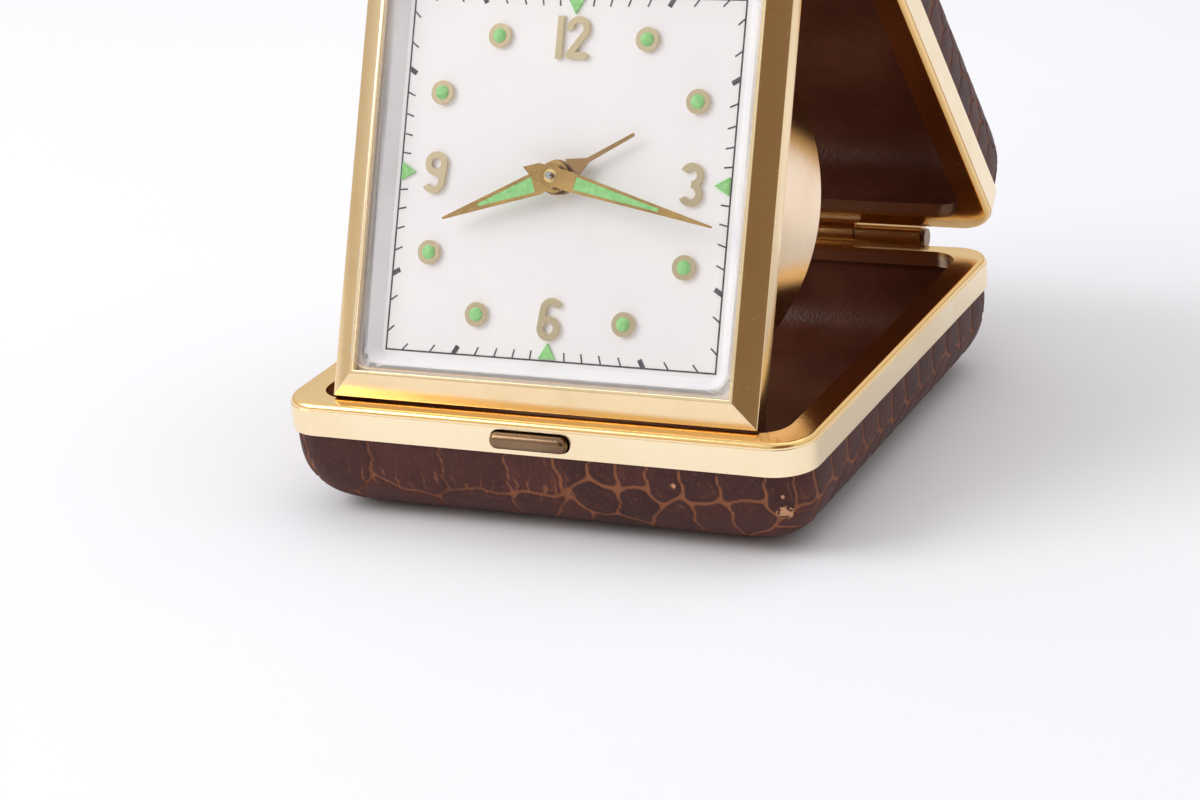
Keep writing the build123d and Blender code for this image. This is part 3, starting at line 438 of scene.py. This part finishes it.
# Worn spots low on the base's front: where they are, and how far they reach.
scuffs = (((0.0316, -0.0350, 0.0062), 0.0013), ((0.0182, -0.0362, 0.0087), 0.0007),
          ((0.0317, -0.0356, 0.0084), 0.0004))
for spot, reach in scuffs:
    away = place.node("VectorMath", {"operation": "DISTANCE"}, {0: place, 1: spot}, 1)
    rub = (1.0 - away / reach + (chips - 0.5) * 2.5).between(0.3, 0.5)
    line = place.maths("MAXIMUM", line, rub * 1.5)
colour = line.between(0.0, 1.0).mix(top, srgb(142, 86, 57))
drive(shader, Base_Color=line.between(1.0, 1.5).mix(colour, srgb(206, 156, 116)),
      Roughness=0.4 + grain * 0.22 + line * 0.12,
      Height=(grain * 0.6 + mottle * 0.3 - wrinkle * 0.6, 0.00013))
skin("base_cover", 1, Matrix.Translation((0.0, 0.0, half_high)), "base", "base_leather")

# Back hinge: a sheet-brass leaf soldered to the back of each rim, their rolled knuckles taking turns along
# one steel pin whose ends are headed over. It lets the lid fall back past upright.
spring_steel = metal("spring steel", srgb(192, 190, 186), srgb(122, 106, 90), rough=0.24)
hinge_brass = metal("hinge brass", srgb(224, 178, 118), srgb(142, 98, 58), rough=0.24, wear=0.6)
# The pin is coloured a dark brown, not steel grey: painted shade, as its ends lie in the deep shade round the
# hinge.
pin_steel = metal("hinge pin steel", srgb(146, 122, 96), srgb(84, 62, 44), rough=0.3, wear=0.7)
dress(["hinge_base_leaf", "hinge_lid_leaf"], hinge_brass)
dress(["hinge_pin"], pin_steel)

# Push button: a solid brass pill in a slot of the front band, its lacquer gone brown from thumbs, with a
# plate behind that frees the catch. A thin steel leaf between the linings pushes it out again.
button_brass = metal("button brass", srgb(142, 114, 88), srgb(98, 72, 52), rough=0.24, wear=0.6)
dress(["push_button"], button_brass)
dress(["latch_spring"], spring_steel)

# Lid: the twin of the base, hinged to it at the back and leaning forward over it, built of the same rim,
# tray, lining and skin. The strike that the catch takes hold of is riveted inside its free edge.
lid_turn, hinge_y, hinge_z = math.radians(50.5572), 0.0385, 0.0154
lid_frame = Matrix(((1, 0, 0, 0), (0, -math.cos(lid_turn), -math.sin(lid_turn), hinge_y),
                    (0, math.sin(lid_turn), -math.cos(lid_turn), hinge_z), (0, 0, 0, 1)))
lid_middle = Vector((0.0, hinge_y, half_high - hinge_z))  # the middle of the lid's rim, from the hinge
lid_up = lid_frame.to_3x3() @ Vector((0.0, 0.0, 1.0))
lid_level = (lid_frame @ lid_middle).dot(lid_up)
# The lid's rim top carries the same painted reflection, a deeper gold, as the base's.
lid_brass = metal("lid rim brass", rim_gold, rim_tarnish, rim_rough, rim_wear,
                  (lid_up, lid_level, reflection_fade, flange_reflection_gold, 0.0))
dress(["lid_rim"], lid_brass)
dress(["lid_tray"], tray_steel)
dress(["lid_lining"], lining_paper)
dress(["lid_strike"], spring_steel)
skin("lid_cover", 2, lid_frame @ Matrix.Translation(lid_middle), "lid", "lid_leather")

# Clock hinge: a brass bracket under the lid's far flange and a brass arm behind the clock's top edge, on a
# steel pin. A coil of spring wire round the pin's end swings the clock out until it stands on the base.
rim_brass = metal("rim brass", rim_gold, rim_tarnish, rim_rough, rim_wear)
dress(["clock_bracket", "clock_knuckle"], rim_brass)
dress(["clock_hinge_pin"], spring_steel)


def wind(name, turns, inner, outer, rise, thick, wide):
    """Models a wire wound round Z from one radius to another, and up by a rise. Thick and wide are half its
    sizes, across the turns and along Z."""
    steps, sides = 28, 10  # along one turn, and round the wire
    bpy.ops.object.select_all(action="DESELECT")
    bpy.ops.mesh.primitive_grid_add(x_subdivisions=turns * steps, y_subdivisions=sides, size=1.0)
    wire = bpy.context.object
    wire.name = name
    for corner in wire.data.vertices:
        along, around = corner.co.x + 0.5, (corner.co.y + 0.5) * math.tau
        reach = inner + (outer - inner) * along + thick * math.cos(around)
        turned = along * turns * math.tau
        height = rise * along + wide * math.sin(around)
        corner.co = (reach * math.cos(turned), reach * math.sin(turned), height)
    bpy.ops.object.mode_set(mode="EDIT")
    bpy.ops.mesh.select_all(action="SELECT")
    bpy.ops.mesh.remove_doubles(threshold=1e-6)
    bpy.ops.mesh.fill_holes(sides=0)
    bpy.ops.mesh.select_all(action="SELECT")
    bpy.ops.mesh.normals_make_consistent(inside=False)
    bpy.ops.object.mode_set(mode="OBJECT")
    bpy.ops.object.shade_smooth_by_angle(angle=math.radians(40.0))
    return wire


coil_start = (0.0125, -0.002836, 0.065175)  # on the axis of the clock hinge's pin, near its right end
coil = wind("clock_coil", 5, inner=0.00102, outer=0.00102, rise=0.00188, thick=0.00021, wide=0.00018)
coil.data.transform(Matrix.Translation(coil_start) @ Matrix.Rotation(math.pi / 2, 4, "Y"))
coil.data.materials.append(spring_steel)
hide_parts("clock_hinge_spring")
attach(coil, "lid")

# Bezel: a square frame pressed from one sheet of brass, its front face a flat bevel, its sides turned back
# round the movement. Mitred corners are crisp, and the bevel is brushed less bright than the case.
clock_brass = metal("clock brass", srgb(250, 224, 180), srgb(214, 174, 114), rough=0.2, wear=0.25)
dress(["bezel"], clock_brass, rounding=0.00012, broad=20.0)

# Movement case: a drum of polished brass sheet behind the bezel, closed by a flat cover with slots and holes
# for the keys, the knobs, the regulator and the alarm stop.
drum_brass = metal("drum brass", srgb(250, 224, 190), srgb(216, 172, 112), rough=0.14, wear=0.22)
dress(["drum_case", "back_cover"], drum_brass)

# Works: two brass plates held apart by pillars and screwed from behind, with the centre and third wheels,
# the going and alarm barrels, the balance with its hairspring and cock, and the alarm hammer and bell.
works_brass = metal("works brass", srgb(232, 202, 136), srgb(170, 130, 74), rough=0.26)
works_steel = metal("works steel", srgb(180, 182, 186), srgb(112, 106, 102), rough=0.22)
dress(["front_plate", "back_plate", "plate_pillars", "centre_wheel", "cannon_pinion", "minute_wheel",
       "hour_wheel", "alarm_wheel", "alarm_barrel", "time_barrel", "third_wheel", "balance_wheel",
       "escapement_platform", "balance_cock"], works_brass)
dress(["plate_screws", "centre_arbor", "alarm_setter", "bell_ring", "alarm_hammer", "hammer_stud"],
      works_steel)
clock_lean = math.radians(23.3263)
dial_way = Vector((0.0, -math.cos(clock_lean), math.sin(clock_lean)))
staff = (Vector(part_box("balance_wheel")[0]) + Vector(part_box("balance_wheel")[1])) / 2
spring_front = max(corner.co.dot(dial_way) for corner in nodes["hairspring"].data.vertices)
spring_half = 0.00015  # from the spring's front to the middle of its strip
spiral = wind("balance_spiral", 5, inner=0.001, outer=0.0029, rise=0.0, thick=0.00005, wide=0.00014)
spiral_spot = staff + dial_way * (spring_front - spring_half - staff.dot(dial_way))
spiral.data.transform(Matrix.Translation(spiral_spot)
                      @ dial_way.to_track_quat("Z", "Y").to_matrix().to_4x4())
spiral.data.materials.append(works_steel)
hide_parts("hairspring")
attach(spiral, "clock")

# Dial surround: a pressed card or tin mask, white inside the bezel, that slopes down to the dial and hides
# the edge of it.
surround_white, shader, place = new_finish("surround white", srgb(250, 249, 252), 0.38)
soft = place.grain(120.0, 3.0)
drive(shader, Base_Color=soft.between(0.4, 0.75).mix(srgb(251, 250, 253), srgb(242, 240, 245)),
      Roughness=soft * 0.2 + 0.28)
dress(["dial_surround"], surround_white)

# Dial: a flat metal plate lacquered in a faintly warm white, with its minute track printed in a dark ink,
# fine for the minutes and bold for each fifth.
dial_white, shader, place = new_finish("dial white", srgb(249, 246, 246), 0.42)
soft = place.grain(45.0, 3.0)
drive(shader, Base_Color=soft.between(0.3, 0.75).mix(srgb(250, 247, 247), srgb(245, 242, 243)),
      Roughness=soft * 0.2 + 0.32, Height=(place.grain(3200.0, 2.0), 0.000008))
dress(["dial"], dial_white)
dial_ink, shader, place = new_finish("dial ink", srgb(52, 52, 60), 0.5)
drive(shader, Base_Color=place.grain(900.0, 3.0).between(0.35, 0.8).mix(srgb(44, 44, 52), srgb(96, 96, 104)))
dress(["dial_track"], dial_ink)

# Hour marks: four applied figures and eight little rings stamped from gilt metal, pinned to the dial, with a
# drop of green glow paint standing proud in each ring and a triangle of it at each quarter of the track.
for name in ("numerals", "hour_dots"):
    front = max(corner.co.dot(dial_way) for corner in nodes[name].data.vertices)
    # Each mark's front face is painted a dark olive, a painted reflection; its extra roughness is the real
    # satin of that face.
    satin_and_reflection_front = (dial_way, front, 0.00015, srgb(152, 136, 100), 0.2)
    mark_gilt = metal(name + " gilt", srgb(250, 238, 214), srgb(214, 196, 160), rough=0.2, face=satin_and_reflection_front)
    dress([name], mark_gilt)
glow_paint, shader, place = new_finish("glow paint", srgb(146, 214, 130), 0.6)
crumb = place.grain(1500.0, 4.0, 0.7)
drive(shader, Base_Color=crumb.between(0.3, 0.75).mix(srgb(158, 222, 142), srgb(126, 196, 112)),
      Roughness=crumb * 0.3 + 0.42, Height=(crumb, 0.00005))
dress(["dial_lume"], glow_paint)

# Hands: slim pointed kites stamped from gilt sheet, each with a long window filled with glow paint. The alarm
# hand below them is a plain thin pointer. The works turn them through a pipe inside a pipe.
spotted = (5.0, 5.0, 5.0)  # the same in all directions: age spots, not wiping marks
hand_gilt = metal("hand gilt", srgb(190, 154, 92), srgb(104, 76, 44), rough=0.26, wear=0.75, wiped=spotted)
alarm_gilt = metal("alarm hand gilt", srgb(160, 126, 84), srgb(96, 72, 50), rough=0.3, wear=0.7,
                   wiped=spotted)
dress(["minute_hand", "hour_hand"], hand_gilt)
dress(["alarm_hand"], alarm_gilt)
dress(["minute_lume", "hour_lume"], glow_paint)

# Crystal: a clear moulded box with rounded shoulders, pressed into the bezel over the hands. It is acrylic,
# with faint hairlines from wiping.
crystal_clear, shader, place = new_finish("crystal", srgb(255, 255, 255), 0.03, 1.0)
hairlines = place.grain(420.0, 4.0, 0.7, (1.0, 1.0, 8.0))
drive(shader, Roughness=hairlines.between(0.5, 0.8) * 0.12 + 0.02)
edge_on = Wire(place.tree, place.tree.nodes.new("ShaderNodeLayerWeight").outputs["Facing"])
mirrored = edge_on ** 5.0 * 0.9 + 0.02  # the share of light that the pane throws back
see_through, mirror = place.node("BsdfTransparent", {}, {}), Wire(place.tree, shader.outputs["BSDF"])
pane = place.node("MixShader", {}, {0: mirrored, 1: see_through, 2: mirror})
crystal_out = next(n for n in place.tree.nodes if n.type == "OUTPUT_MATERIAL")
place.tree.links.new(pane.socket, crystal_out.inputs["Surface"])
dress(["crystal"], crystal_clear)

# Controls on the back: two winding keys, two knurled setting knobs and the alarm stop, in turned or stamped
# brass, and the slotted steel arm of the regulator.
knob_brass = metal("knob brass", srgb(236, 204, 140), srgb(168, 126, 70), rough=0.22)
dress(["time_set_knob", "alarm_set_knob", "time_key", "alarm_key", "alarm_stop"], knob_brass)
dress(["regulator"], works_steel)
